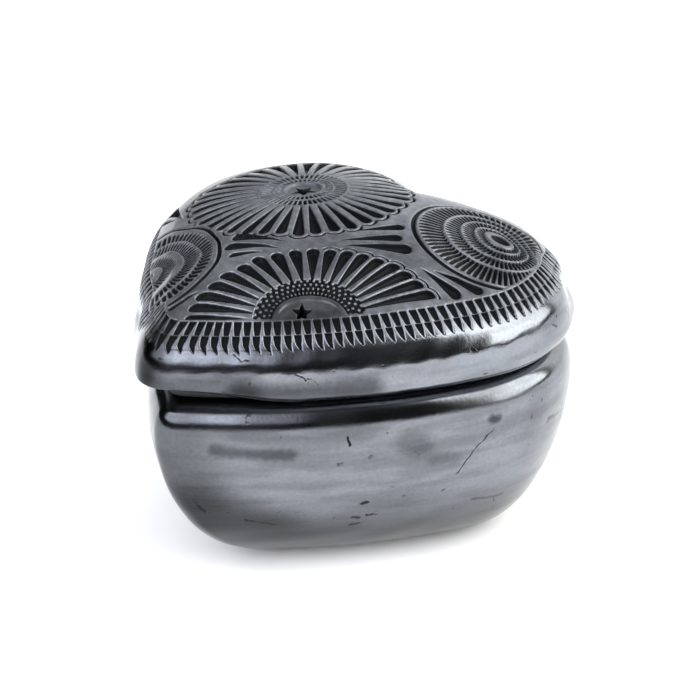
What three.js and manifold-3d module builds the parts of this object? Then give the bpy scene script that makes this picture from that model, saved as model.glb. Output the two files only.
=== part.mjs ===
// Heart-shaped lidded trinket box in burnished black clay (barro negro): a base and a carved lid.
// Frame: millimetres, +Z up, the tip of the heart towards -Y, the lobes towards +Y,
// origin on the ground under the middle of the lid.
import * as THREE from 'three';
import { mergeVertices } from 'three/addons/utils/BufferGeometryUtils.js';
import Module from 'manifold-3d';

const wasm = await Module();
wasm.setup();

// ---- driving dimensions ----------------------------------------------------

// heart outline, the widest line of the lid
const lobeRadius = 29;
const lobeOffset = 15.7;          // of each lobe centre from the axis of the heart
const lobeFromTip = 61;           // along the axis
const sideRadius = 117.7;
const tipRadius = 6.4;
const cleftRadius = 7;
const smallestTipRadius = 3.5;    // of any outline drawn inside the heart

// base
const baseShift = [0.7, 0.6];     // the lid sits off-centre within the play of the collar
const baseInset = 1.3;            // of the base's widest line from the lid's
const widestHeight = 35.6;
const seatHeight = 43.1;
const shoulderInset = 5;
const footInset = 21.6;
const footShift = [-0.5, 6.3];      // the foot sits back, under the lobes
const bellyPower = 1.76;
const wallThickness = 6.5;
const floorThickness = 6;
const collarInset = 9.4;
const collarThickness = 3;
const collarHeight = 5;
const collarChamfer = 0.8;

// lid
const restGap = 0.3;
const lipInset = 4;
const lipHeight = 4.2;
const seatInset = 5.6;              // where the lip's curve meets the flat that rests on the base
const tipLift = 2.6;                // the lip curls up at the tip of the heart
const tipLiftFrom = -26;
const bandTop = 54.9;
const bandInset = 2.4;
const domeEdge = 59;
const domeEdgeInset = 6.4;
const domeRise = 8.6;
const domePower = 2.5;
const domeRoundRadius = 36;         // the height lines round off towards a circle of this size
const domeRounding = 0.6;
const domeCentre = [0, 7.5];
const lidWallInset = 7.6;
const lidThickness = 5.2;

// carving
const wellDepth = 1.3;
const grooveDepth = 0.7;
const grooveWidth = 1;
const starRadius = 2.1;
const starPinch = 0.42;
const sun = { centre: [-10.8, 9.3], wells: 36, inner: 8.9, outer: 21.4 };
const halfSun = { centre: [19.5, -21.5], wells: 16, inner: 10.8, from: 64, to: 212 };
const halfSunStar = [17, -21.3];
const halfSunReach = { angle: 135, shortest: 17.6, rightGrowth: 8, leftGrowth: 5, span: 75 };
const leaves = [
  { from: [0.6, -11.4], to: [-8.6, -13.6], width: 2 },
  { from: [1.6, -13.2], to: [-6.8, -17], width: 2 },
  { from: [11.2, -0.8], to: [17.4, 6.5], width: 2 },
  { from: [13.6, -1.2], to: [20.9, 5.1], width: 2.4 },
  { from: [27.2, 3.8], to: [33.6, 4.3], width: 1.7 },
  { from: [31, 7], to: [35.2, 8.8], width: 1.7 },
];
const shell = { centre: [-21, -29], radii: [9, 12.2, 18.4], from: -12, to: 88 };
const snail = [
  { centre: [27.7, 25.5], radius: 3.4, from: 0, to: 300 },
  { centre: [27.5, 23], radius: 7, from: 0, to: 300 },
  { centre: [27, 21.8], radius: 9.3, from: 150, to: 345 },
  { centre: [26.3, 20.3], radius: 13.5, from: 150, to: 250 },
  { centre: [27, 19], radius: 13.7, from: 250, to: 325 },
];

// ---- heart outlines ---------------------------------------------------------

const tipArcPoints = 3;
const sideArcPoints = 8;
const lobeArcPoints = 12;
const cleftArcPoints = 4;
const headLength = lobeFromTip + lobeRadius;

function arcPoints(centre, radius, from, to, count, withEnd) {
  const steps = withEnd ? count : count + 1;
  return Array.from({ length: count }, (_, i) => {
    const angle = from + (to - from) * i / (steps - 1);
    return [centre[0] + radius * Math.cos(angle), centre[1] + radius * Math.sin(angle)];
  });
}

function angleOf(point, from) {
  return Math.atan2(point[1] - from[1], point[0] - from[0]);
}

// Centre of the arc of the right-hand side, tangent inside to the tip arc and the lobe arc.
function sideCentre(tip, lobe) {
  const along = [lobe[0] - tip[0], lobe[1] - tip[1]];
  const span = Math.hypot(...along);
  const fromTip = sideRadius - tipRadius;
  const fromLobe = sideRadius - lobeRadius;
  const forward = (span ** 2 + fromTip ** 2 - fromLobe ** 2) / (2 * span);
  const aside = Math.sqrt(fromTip ** 2 - forward ** 2);
  const unit = [along[0] / span, along[1] / span];
  return [
    tip[0] + unit[0] * forward - unit[1] * aside,
    tip[1] + unit[1] * forward + unit[0] * aside,
  ];
}

// The heart drawn a distance inside its widest line, centred on the middle of the lid.
function heart(inset) {
  const tipStart = [0, tipRadius];
  const lobe = [lobeOffset, lobeFromTip];
  const side = sideCentre(tipStart, lobe);
  const reach = Math.sqrt((lobeRadius + cleftRadius) ** 2 - lobeOffset ** 2);
  const cleft = [0, lobeFromTip + reach];
  const radius = Math.max(tipRadius - inset, smallestTipRadius);
  const drop = Math.sqrt((sideRadius - inset - radius) ** 2 - side[0] ** 2);
  const tip = [0, side[1] - drop];
  const right = [
    ...arcPoints(tip, radius, -Math.PI / 2, angleOf(tip, side), tipArcPoints, false),
    ...arcPoints(side, sideRadius - inset, angleOf(tip, side), angleOf(lobe, side), sideArcPoints, false),
    ...arcPoints(lobe, lobeRadius - inset, angleOf(lobe, side), angleOf(cleft, lobe), lobeArcPoints, false),
    ...arcPoints(cleft, cleftRadius + inset, angleOf(lobe, cleft), -Math.PI / 2, cleftArcPoints, true),
  ];
  const left = right.slice(1, -1).reverse().map(([x, y]) => [-x, y]);
  return [...right, ...left].map(([x, y]) => [x, y - headLength / 2]);
}

function ring(outline, height, shift = [0, 0]) {
  return outline.map(([x, y]) => [x + shift[0], y + shift[1], height]);
}

// ---- closed bodies from rings -------------------------------------------------

// Rings run from the first pole to the last one; each ring has the same number of points.
function bodyFromRings(firstPole, rings, lastPole) {
  const positions = [firstPole, ...rings.flat(), lastPole];
  const count = rings[0].length;
  const last = positions.length - 1;
  const triangles = [];
  const at = (ringIndex, i) => 1 + ringIndex * count + (i % count);
  for (let i = 0; i < count; i += 1) {
    triangles.push([0, at(0, i + 1), at(0, i)]);
    triangles.push([last, at(rings.length - 1, i), at(rings.length - 1, i + 1)]);
    for (let r = 0; r + 1 < rings.length; r += 1) {
      triangles.push([at(r, i), at(r, i + 1), at(r + 1, i + 1)]);
      triangles.push([at(r, i), at(r + 1, i + 1), at(r + 1, i)]);
    }
  }
  const geometry = new THREE.BufferGeometry();
  geometry.setAttribute('position', new THREE.Float32BufferAttribute(positions.flat(), 3));
  geometry.setIndex(triangles.flat());
  return geometry;
}

function toManifold(geometry) {
  const bare = geometry.clone();
  bare.deleteAttribute('normal');
  bare.deleteAttribute('uv');
  const merged = mergeVertices(bare, 1e-4);
  return new wasm.Manifold(new wasm.Mesh({
    numProp: 3,
    vertProperties: new Float32Array(merged.getAttribute('position').array),
    triVerts: new Uint32Array(merged.getIndex().array),
  }));
}

function toGeometry(manifold) {
  const mesh = manifold.getMesh();
  const geometry = new THREE.BufferGeometry();
  geometry.setAttribute('position', new THREE.Float32BufferAttribute(Float32Array.from(mesh.vertProperties), 3));
  geometry.setIndex(Array.from(mesh.triVerts));
  return geometry;
}

// ---- base ---------------------------------------------------------------------

// How far the belly has drawn in at a height, from 0 at the widest line to 1 at the foot.
function drawIn(height) {
  const down = 1 - height / widestHeight;
  return 1 - (1 - down ** bellyPower) ** (1 / bellyPower);
}

function bellyRing(height, extraInset) {
  const drawn = drawIn(height);
  const shift = [
    baseShift[0] + footShift[0] * drawn,
    baseShift[1] + footShift[1] * drawn,
  ];
  return ring(heart(baseInset + footInset * drawn + extraInset), height, shift);
}

function makeBase() {
  const rings = [];
  const bellySteps = 9;
  for (let i = 0; i < bellySteps; i += 1) {
    rings.push(bellyRing(widestHeight * (1 - Math.cos((i / bellySteps) * Math.PI / 2)), 0));
  }
  const shoulderSteps = 4;
  for (let i = 0; i <= shoulderSteps; i += 1) {
    const turn = (i / shoulderSteps) * Math.PI / 2;
    const inset = baseInset + shoulderInset * (1 - Math.cos(turn));
    const height = widestHeight + (seatHeight - widestHeight) * Math.sin(turn);
    rings.push(ring(heart(inset), height, baseShift));
  }
  const collarTop = seatHeight + collarHeight;
  const collarInner = collarInset + collarThickness;
  rings.push(ring(heart(collarInset), seatHeight, baseShift));
  rings.push(ring(heart(collarInset), collarTop - collarChamfer, baseShift));
  rings.push(ring(heart(collarInset + collarChamfer), collarTop, baseShift));
  rings.push(ring(heart(collarInner - collarChamfer), collarTop, baseShift));
  rings.push(ring(heart(collarInner), collarTop - collarChamfer, baseShift));
  rings.push(ring(heart(collarInner), seatHeight - collarHeight, baseShift));
  const hollowTop = seatHeight - 2 * collarHeight;
  const hollowFoot = floorThickness + wallThickness / 2;
  const hollowSteps = 6;
  for (let i = 0; i <= hollowSteps; i += 1) {
    rings.push(bellyRing(hollowTop + (hollowFoot - hollowTop) * i / hollowSteps, wallThickness));
  }
  const floorRing = bellyRing(hollowFoot, wallThickness + wallThickness / 2);
  rings.push(floorRing.map(([x, y]) => [x, y, floorThickness]));
  const middle = [baseShift[0], domeCentre[1]];
  return bodyFromRings([...middle, 0], rings, [...middle, floorThickness]);
}

// ---- lid ----------------------------------------------------------------------

const domeOutline = heart(domeEdgeInset);

function domeRing(share, drop) {
  const height = domeEdge + domeRise * (1 - share ** domePower) - drop;
  const round = (1 - share) * domeRounding;
  return domeOutline.map(([x, y]) => {
    const away = [x - domeCentre[0], y - domeCentre[1]];
    const reach = Math.hypot(...away);
    const radius = share * ((1 - round) * reach + round * domeRoundRadius);
    return [
      domeCentre[0] + away[0] * radius / reach,
      domeCentre[1] + away[1] * radius / reach,
      height,
    ];
  });
}

// 0 behind the place where the lip starts to lift, rising to 1 at the tip.
function nearTip(y) {
  return THREE.MathUtils.smoothstep(tipLiftFrom - y, 0, tipLiftFrom + headLength / 2);
}

const domeShares = [0.3, 0.5, 0.66, 0.79, 0.9, 1];

function makeLidBlank() {
  const seat = seatHeight + restGap;
  const bulge = seat + lipHeight;
  const rings = [];
  const ceilingShares = [0.88, 0.75, 0.5, 0.25];
  rings.push(...ceilingShares.slice().reverse().map((share) => domeRing(share, lidThickness)));
  rings.push(ring(heart(lidWallInset + lidThickness / 2), domeEdge - lidThickness));
  rings.push(ring(heart(lidWallInset), bandTop - lidThickness));
  rings.push(ring(heart(lidWallInset), seat));
  rings.push(ring(heart(seatInset), seat));
  const lipSteps = 4;
  for (let i = 0; i <= lipSteps; i += 1) {
    const turn = (i / lipSteps) * Math.PI / 2;
    const down = Math.cos(turn);
    const lip = ring(heart(lipInset * (1 - Math.sin(turn))), bulge - lipHeight * down);
    rings.push(lip.map(([x, y, z]) => [x, y, z + tipLift * down * nearTip(y)]));
  }
  const rollSteps = 3;
  for (let i = 1; i <= rollSteps; i += 1) {
    const turn = (i / rollSteps) * Math.PI / 3;
    const inset = bandInset * 2 * (1 - Math.cos(turn));
    const height = bulge + (bandTop - bulge) * Math.sin(turn) / Math.sin(Math.PI / 3);
    rings.push(ring(heart(inset), height));
  }
  rings.push(...domeShares.slice().reverse().map((share) => domeRing(share, 0)));
  const under = [...domeCentre, domeEdge + domeRise - lidThickness];
  const over = [...domeCentre, domeEdge + domeRise];
  return bodyFromRings(under, rings, over);
}

// Everything above the dome once it is lowered by the depth of a cut.
function spaceAboveDome(depth) {
  const wide = domeShares.map((share) => domeRing(share, depth));
  const outerRings = [1.1, 1.2].map((share) => domeRing(share, depth));
  const far = outerRings[outerRings.length - 1];
  const roof = domeEdge + domeRise + 10;
  const rings = [...wide, ...outerRings, far.map(([x, y]) => [x, y, roof])];
  const under = [...domeCentre, domeEdge + domeRise - depth];
  return toManifold(bodyFromRings(under, rings, [...domeCentre, roof]));
}

function prism(outline, low, high) {
  const shape = new THREE.Shape(outline.map(([x, y]) => new THREE.Vector2(x, y)));
  const geometry = new THREE.ExtrudeGeometry(shape, { depth: high - low, bevelEnabled: false });
  geometry.translate(0, 0, low);
  return toManifold(geometry);
}

function polar(centre, angle, radius) {
  return [centre[0] + radius * Math.cos(angle), centre[1] + radius * Math.sin(angle)];
}

// A teardrop well: narrow at one end, round at the other.
function teardrop(from, to, neckWidth, width) {
  const length = Math.hypot(to[0] - from[0], to[1] - from[1]);
  const along = [(to[0] - from[0]) / length, (to[1] - from[1]) / length];
  const half = width / 2;
  const place = (forward, aside) => [
    from[0] + along[0] * forward - along[1] * aside,
    from[1] + along[1] * forward + along[0] * aside,
  ];
  const end = [-90, -45, 0, 45, 90].map((degrees) => {
    const turn = THREE.MathUtils.degToRad(degrees);
    return place(length - half + half * Math.cos(turn), half * Math.sin(turn));
  });
  return [place(0, -neckWidth / 2), ...end, place(0, neckWidth / 2)];
}

// A well of a sunburst, on a ray from the middle of the medallion.
function rayWell(centre, angle, inner, outer, pitch) {
  const from = polar(centre, angle, inner);
  const to = polar(centre, angle, outer);
  return teardrop(from, to, inner * pitch * 0.32, outer * pitch * 0.62);
}

// The outer ends of the half sunburst's wells: longer to the right, a little longer to the left.
function halfSunOuter(degrees) {
  const turn = (degrees - halfSunReach.angle) / halfSunReach.span;
  const growth = turn < 0 ? halfSunReach.rightGrowth : halfSunReach.leftGrowth;
  return halfSunReach.shortest + growth * turn ** 2;
}

function starOutline(centre) {
  return Array.from({ length: 10 }, (_, i) => {
    const radius = i % 2 === 0 ? starRadius : starRadius * starPinch;
    return polar(centre, Math.PI / 2 + i * Math.PI / 5, radius);
  });
}

function grooveOutline(centre, radius, from, to) {
  const steps = Math.max(6, Math.round((to - from) / 15));
  const turns = Array.from({ length: steps + 1 }, (_, i) => (
    THREE.MathUtils.degToRad(from + (to - from) * i / steps)));
  const outer = turns.map((turn) => polar(centre, turn, radius + grooveWidth / 2));
  const inner = turns.reverse().map((turn) => polar(centre, turn, radius - grooveWidth / 2));
  return [...outer, ...inner];
}

function makeLid() {
  const low = domeEdge - 2 * wellDepth;
  const high = domeEdge + domeRise + 2;
  const reach = prism(heart(domeEdgeInset + 0.6), low, high);
  const wells = leaves.map(({ from, to, width }) => teardrop(from, to, width / 4, width));
  for (let i = 0; i < sun.wells; i += 1) {
    const pitch = 2 * Math.PI / sun.wells;
    wells.push(rayWell(sun.centre, i * pitch, sun.inner, sun.outer, pitch));
  }
  const step = (halfSun.to - halfSun.from) / (halfSun.wells - 1);
  for (let i = 0; i < halfSun.wells; i += 1) {
    const degrees = halfSun.from + i * step;
    const angle = THREE.MathUtils.degToRad(degrees);
    const pitch = THREE.MathUtils.degToRad(step);
    wells.push(rayWell(halfSun.centre, angle, halfSun.inner, halfSunOuter(degrees), pitch));
  }
  const grooves = [
    ...shell.radii.map((radius) => grooveOutline(shell.centre, radius, shell.from, shell.to)),
    ...snail.map(({ centre, radius, from, to }) => grooveOutline(centre, radius, from, to)),
  ];
  const deep = wells.map((outline) => prism(outline, low, high));
  const shallow = grooves.map((outline) => prism(outline, low, high));
  const deepCut = wasm.Manifold.union(deep).intersect(spaceAboveDome(wellDepth));
  const shallowCut = wasm.Manifold.union(shallow).intersect(spaceAboveDome(grooveDepth));
  const carving = deepCut.add(shallowCut).intersect(reach);
  const stars = [sun.centre, halfSunStar].map((centre) => prism(starOutline(centre), seatHeight, high));
  const lid = toManifold(makeLidBlank()).subtract(carving);
  return toGeometry(lid.subtract(wasm.Manifold.union(stars)));
}

// ---- assembly -----------------------------------------------------------------

function clay(name, geometry, colour, roughness, metalness) {
  const material = new THREE.MeshStandardMaterial({ color: colour, roughness, metalness });
  material.name = `${name}_clay`;
  const mesh = new THREE.Mesh(geometry, material);
  mesh.name = name;
  return mesh;
}

const box = new THREE.Group();
box.name = 'heart_box';
box.add(clay('base', makeBase(), 0x4a4c50, 0.32, 0.6));
box.add(clay('lid', makeLid(), 0x3c3e42, 0.4, 0.55));

export default box;
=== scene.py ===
import math

import bpy
import numpy as np
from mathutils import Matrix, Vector


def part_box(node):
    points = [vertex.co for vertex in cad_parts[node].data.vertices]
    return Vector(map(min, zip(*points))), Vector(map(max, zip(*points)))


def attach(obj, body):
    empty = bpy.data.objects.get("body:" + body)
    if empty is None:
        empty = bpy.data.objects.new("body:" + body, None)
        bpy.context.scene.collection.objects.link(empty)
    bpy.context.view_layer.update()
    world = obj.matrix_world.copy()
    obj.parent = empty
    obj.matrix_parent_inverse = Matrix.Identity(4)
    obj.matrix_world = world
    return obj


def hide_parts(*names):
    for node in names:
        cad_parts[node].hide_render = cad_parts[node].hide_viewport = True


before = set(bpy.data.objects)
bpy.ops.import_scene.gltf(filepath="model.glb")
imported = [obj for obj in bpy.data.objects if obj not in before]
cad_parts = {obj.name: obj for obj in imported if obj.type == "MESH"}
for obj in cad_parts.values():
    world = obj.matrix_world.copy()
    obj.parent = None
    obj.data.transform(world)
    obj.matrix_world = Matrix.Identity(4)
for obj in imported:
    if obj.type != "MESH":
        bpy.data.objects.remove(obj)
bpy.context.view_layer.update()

# A heart-shaped box of burnished black clay: a plain base and a carved lid.
# Lengths are in millimetres until a mesh is made; the frame is the CAD's, in metres.
MM = 0.001
lid_low, lid_high = (np.array(corner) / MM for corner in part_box("lid"))
base_low, base_high = (np.array(corner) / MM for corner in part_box("base"))

# ---- driving dimensions ----------------------------------------------------------------------

LOBE_RADIUS = 29.0
LOBE_OFFSET = 15.7
SIDE_RADIUS = 117.7
TIP_RADIUS = 6.4
CLEFT_RADIUS = 7.0
SMALLEST_TIP_RADIUS = 3.5
HEAD_LENGTH = lid_high[1] - lid_low[1]
LOBE_FROM_TIP = HEAD_LENGTH - LOBE_RADIUS

# How many points the arcs of one half of the heart have, on the lid and on the base.
COLUMNS = {"tip": 24, "side": 400, "lobe": 360, "cleft": 24}
BASE_COLUMNS = {"tip": 12, "side": 72, "lobe": 96, "cleft": 12}

SEAT_GAP = 0.3
LID_SEAT = lid_low[2]
LID_TOP = lid_high[2]
DOME_RISE = 8.6
DOME_EDGE = LID_TOP - DOME_RISE
DOME_EDGE_INSET = 6.4
DOME_POWER = 2.5
DOME_ROUND_RADIUS = 36.0
DOME_ROUNDING = 0.6
DOME_REACH = 32.0
DOME_CENTRE = np.array([0.0, 7.5])
BAND_TOP = DOME_EDGE - 4.1
BAND_INSET = 2.4
LIP_INSET = 4.0
LIP_HEIGHT = 4.2
SEAT_INSET = 5.6
SEAT_CHAMFER = 0.3
TIP_LIFT = 3.4
TIP_LIFT_FROM = -26.0
LID_WALL_INSET = 7.6
LID_THICKNESS = 5.2

BASE_SHIFT = np.array([base_low[0] + base_high[0], base_low[1] + base_high[1]]) / 2
BASE_INSET = 1.3
SEAT_HEIGHT = LID_SEAT - SEAT_GAP
WIDEST_HEIGHT = SEAT_HEIGHT - 7.5
SHOULDER_INSET = 5.6
SHOULDER_RISE = 6.9
SHOULDER_SQUARENESS = 2.4
FOOT_INSET = 21.6
FOOT_SHIFT = np.array([-0.5, 6.3])
BELLY_POWER = 1.76
WALL_THICKNESS = 6.5
FLOOR_THICKNESS = 6.0
COLLAR_TOP = base_high[2]
COLLAR_INSET = 9.4
COLLAR_THICKNESS = 3.0
COLLAR_ROUND = 1.0
HOLLOW_DROP = 10.0

# ---- camera ----------------------------------------------------------------------------------

CAMERA_AZIMUTH = math.radians(42.06)
CAMERA_ELEVATION = math.radians(26.28)
CAMERA_DISTANCE = 0.8
CAMERA_TARGET = Vector((-0.01057, 0.02279, 0.0267))
CAMERA_LENS = 201.7
CAMERA_SENSOR = 36.0
CAMERA_NEAREST = 0.01


def make_camera():
    data = bpy.data.cameras.new("camera")
    data.lens = CAMERA_LENS
    data.sensor_width = CAMERA_SENSOR
    data.clip_start = CAMERA_NEAREST
    camera = bpy.data.objects.new("camera", data)
    flat = math.cos(CAMERA_ELEVATION)
    back = Vector((
        math.sin(CAMERA_AZIMUTH) * flat,
        -math.cos(CAMERA_AZIMUTH) * flat,
        math.sin(CAMERA_ELEVATION),
    ))
    camera.location = CAMERA_TARGET + back * CAMERA_DISTANCE
    camera.rotation_euler = back.to_track_quat("Z", "Y").to_euler()
    bpy.context.collection.objects.link(camera)
    bpy.context.scene.camera = camera


make_camera()

# ---- heart outlines --------------------------------------------------------------------------


def arc_points(centre, radius, start, end, count, with_end=False):
    turn = np.linspace(start, end, count, endpoint=with_end)
    return np.stack([centre[0] + radius * np.cos(turn), centre[1] + radius * np.sin(turn)], 1)


def angle_of(point, centre):
    return math.atan2(point[1] - centre[1], point[0] - centre[0])


def side_centre(tip, lobe):
    """The centre of the right-hand side's arc, tangent inside to the tip arc and the lobe arc."""
    along = lobe - tip
    span = np.hypot(*along)
    from_tip = SIDE_RADIUS - TIP_RADIUS
    from_lobe = SIDE_RADIUS - LOBE_RADIUS
    forward = (span**2 + from_tip**2 - from_lobe**2) / (2 * span)
    aside = math.sqrt(from_tip**2 - forward**2)
    unit = along / span
    return tip + unit * forward + np.array([-unit[1], unit[0]]) * aside


def heart(inset, columns=COLUMNS):
    """The heart a distance inside its widest line, counter-clockwise from the tip."""
    lobe = np.array([LOBE_OFFSET, LOBE_FROM_TIP])
    side = side_centre(np.array([0.0, TIP_RADIUS]), lobe)
    reach = math.sqrt((LOBE_RADIUS + CLEFT_RADIUS) ** 2 - LOBE_OFFSET**2)
    cleft = np.array([0.0, LOBE_FROM_TIP + reach])
    radius = max(TIP_RADIUS - inset, SMALLEST_TIP_RADIUS)
    drop = math.sqrt((SIDE_RADIUS - inset - radius) ** 2 - side[0] ** 2)
    tip = np.array([0.0, side[1] - drop])
    down = -math.pi / 2
    tip_end = angle_of(tip, side)
    side_end = angle_of(lobe, side)
    lobe_end = angle_of(cleft, lobe)
    cleft_start = angle_of(lobe, cleft)
    right = np.concatenate([
        arc_points(tip, radius, down, tip_end, columns["tip"]),
        arc_points(side, SIDE_RADIUS - inset, tip_end, side_end, columns["side"]),
        arc_points(lobe, LOBE_RADIUS - inset, side_end, lobe_end, columns["lobe"]),
        arc_points(cleft, CLEFT_RADIUS + inset, cleft_start, down, columns["cleft"] + 1, True),
    ])
    left = right[1:-1][::-1] * [-1, 1]
    return np.concatenate([right, left]) - [0, HEAD_LENGTH / 2]


def steps_along(outline):
    """The distances from each point of a closed outline to the next."""
    return np.hypot(*(np.roll(outline, -1, 0) - outline).T)


def at_height(outline, height, shift=(0.0, 0.0)):
    """The points of an outline, or of a shifted copy of it, at one height."""
    points = outline + np.asarray(shift)
    return np.column_stack([points, np.full(len(points), height)])


# ---- closed meshes from rings ------------------------------------------------------------------


def join_rings(first, second, start_first, start_second):
    """Faces between two rings of n and n, n and 2n, or 2n and n points."""
    here = np.arange(min(first, second))
    after = (here + 1) % len(here)
    if first == second:
        corners = start_first + here, start_second + here, start_second + after, start_first + after
        return [np.stack(corners, 1)]
    if second == 2 * first:
        few, many = start_first, start_second
        near, middle, far = many + 2 * here, many + 2 * here + 1, many + 2 * after
        return [
            np.stack([few + here, near, middle], 1),
            np.stack([few + here, middle, few + after], 1),
            np.stack([few + after, middle, far], 1),
        ]
    many, few = start_first, start_second
    near, middle, far = many + 2 * here, many + 2 * here + 1, many + 2 * after
    return [
        np.stack([near, few + here, middle], 1),
        np.stack([middle, few + here, few + after], 1),
        np.stack([middle, few + after, far], 1),
    ]


def close_rings(first_pole, rings, last_pole):
    """Points and faces of a closed body from a pole, through rings, to the other pole."""
    points = np.concatenate([[first_pole], *rings, [last_pole]])
    starts = 1 + np.concatenate([[0], np.cumsum([len(ring) for ring in rings])[:-1]])
    last = len(points) - 1
    here = np.arange(len(rings[0]))
    faces = [np.stack([np.zeros_like(here), 1 + here, 1 + np.roll(here, -1)], 1)]
    for index in range(len(rings) - 1):
        sizes = len(rings[index]), len(rings[index + 1])
        faces += join_rings(*sizes, starts[index], starts[index + 1])
    here = np.arange(len(rings[-1]))
    ends = starts[-1] + here
    faces.append(np.stack([ends, np.full_like(here, last), starts[-1] + np.roll(here, -1)], 1))
    return points, faces


def point_normals(points, faces):
    """The direction in which the surface looks at each point, weighted by the faces round it."""
    normals = np.zeros_like(points)
    for group in faces:
        corners = points[group]
        across = np.cross(corners[:, 1] - corners[:, 0], corners[:, -1] - corners[:, 0])
        for corner in range(group.shape[1]):
            np.add.at(normals, group[:, corner], across)
    return normals / np.maximum(np.linalg.norm(normals, axis=1, keepdims=True), 1e-12)


def make_object(name, points, faces, marks, material, body):
    """A smooth-shaded object that stands for the CAD node of the same body."""
    mesh = bpy.data.meshes.new(name)
    polygons = [face for group in faces for face in group.tolist()]
    mesh.from_pydata((points * MM).tolist(), [], polygons)
    mesh.polygons.foreach_set("use_smooth", np.ones(len(polygons), dtype=bool))
    for mark, values in marks.items():
        layer = mesh.attributes.new(mark, "FLOAT", "POINT")
        layer.data.foreach_set("value", values.astype(np.float32))
    mesh.materials.append(material)
    mesh.validate()
    piece = bpy.data.objects.new(name, mesh)
    bpy.context.collection.objects.link(piece)
    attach(piece, body)
    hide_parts(body)
    return piece


# ---- small helpers for relief --------------------------------------------------------------------


def soft(low, high, value):
    """0 at low, 1 at high, smooth in between; low may be the larger."""
    share = np.clip((value - low) / (high - low), 0.0, 1.0)
    return share * share * (3 - 2 * share)


def chance(number, seed):
    """A fixed made-up value from -1 to 1 for each whole number."""
    wave = np.sin(number * 12.9898 + seed * 78.233) * 43758.5453
    return 2 * (wave - np.floor(wave)) - 1


def ripple(points, length, seed):
    """Slow unevenness of a hand-made surface, from -1 to 1: a few waves in made-up directions."""
    waves = 5
    total = np.zeros(len(points))
    for index in range(waves):
        direction = np.array([chance(index, seed), chance(index, seed + 1), chance(index, seed + 2)])
        pace = 2 * math.pi / length * (0.6 + 0.25 * index)
        total += np.sin(points @ direction * pace + 7 * chance(index, seed + 3)) / waves
    return total


def polar_from(centre, x, y):
    """Distance and direction of points from a centre."""
    return np.hypot(x - centre[0], y - centre[1]), np.arctan2(y - centre[1], x - centre[0])


def gouge(along, aside, start, end, neck, half, depth, wall=0.5):
    """The cut of a gouge: narrow and shallow at its start, round and deep at its end."""
    share = np.clip((along - start) / (end - start), 0.0, 1.0)
    width = neck + (half - neck) * share
    beyond = np.maximum(along - (end - half), 0.0)
    inside = width - np.hypot(aside, beyond)
    inside = np.where(along < start, -1.0, inside)
    bowl = 1 - 0.25 * np.clip(aside / np.maximum(width, 0.05), -1, 1) ** 2
    return depth * (0.4 + 0.6 * soft(0.0, 0.8, share)) * soft(0.0, wall, inside) * bowl


def hoop(along, aside, end, half, gap, width, depth, opening=1.25):
    """A thin curved cut round the far end of a gouge's cut."""
    forward = along - (end - half)
    radius = np.hypot(aside, forward)
    turn = np.abs(np.arctan2(aside, forward))
    return depth * soft(width, 0.0, np.abs(radius - half - gap)) * soft(opening, opening - 0.35, turn)


# ---- the carved top ------------------------------------------------------------------------------

WELL_DEPTH = 1.35

# The full sun: a smooth disc, toothed rings (inner and outer edge, teeth) and a ring of wells.
SUN = {"centre": (-10.8, 9.3), "wells": 36, "inner": 9.2, "outer": 21.3, "half": 1.3}
SUN_DISC = 3.8
SUN_RINGS = ((4.1, 5.9, 36), (6.1, 8.7, 48))

# The half sun: a smooth disc, a sunken bed of bead rows (distance out, bead size, beads in a full
# turn) and wells, whose first few have a crescent at the end. The wells are shortest along its
# axis, and get longer and stand closer together towards both sides.
HALF_SUN_CENTRE = (19.5, -21.5)
HALF_SUN_AXIS = 135.0
HALF_SUN_FLATTENING = 2.0
HALF_SUN_DISC = 6.7
HALF_SUN_BED = (7.3, 11.1)
HALF_SUN_BEADS = ((8.0, 0.36, 54), (8.95, 0.38, 46), (9.85, 0.38, 46), (10.7, 0.36, 46))
HALF_SUN_WELLS = 18
HALF_SUN_CRESCENTS = 8
HALF_SUN_SHORTEST = 17.5
HALF_SUN_GROWTH_RIGHT = 8.2
HALF_SUN_GROWTH_LEFT = 5.2
HALF_SUN_GROWTH_SPAN = 75.0
# The number of the well in a direction: a cubic of its turn from the axis, in quarter turns.
HALF_SUN_PACE = np.polynomial.Polynomial((8.33, 7.47, -1.23, 3.06))

STAR_DEPTH = 4.0
STAR_PINCH = 0.42
STARS = (
    {"centre": SUN["centre"], "size": 2.4, "turn": math.radians(24)},
    {"centre": (17.0, -21.3), "size": 1.8, "turn": math.radians(60)},
)

# Bands of fine grooves: inner and outer edge, grooves in a full turn, and depth. The rim is a
# plain groove round the bands, and the reach is where the motif ends.
SHELL_CENTRE = (-23.0, -23.5)
SHELL_BANDS = ((9.5, 12.0, 58, 0.9), (6.6, 9.2, 58, 0.9), (3.0, 5.4, 40, 0.9))
SHELL_RIM = 13.4
SHELL_REACH = 14.2
SHELL_SLOPE = 0.75
SNAIL_HEART = np.array([27.8, 26.0])
SNAIL_DRIFT = np.array([-1.5, -4.7]) / 13.2
SNAIL_BANDS = ((9.6, 13.1, 66, 0.85), (7.0, 9.2, 56, 0.8), (4.8, 6.7, 44, 0.8), (3.1, 4.5, 30, 0.7))
SNAIL_RIM = 13.9
SNAIL_REACH = 14.6
SNAIL_SLOPE = 0.7

# The border: two rows of notches, an inner and an outer one. The way round the edge is measured
# from the tip, along a line of the border.
BORDER_LINE = 4.0
EDGE_LENGTH = float(np.sum(steps_along(heart(BORDER_LINE))))
NOTCHES = 131
NOTCH_ROWS = (
    {"outer": 4.3, "inner": 6.5, "narrow": 0.56, "wide": 0.84, "depth": 1.0, "shift": 0.0},
    {"outer": 2.0, "inner": 4.32, "narrow": 0.0, "wide": 0.78, "depth": 0.95, "shift": 0.08},
)
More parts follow.
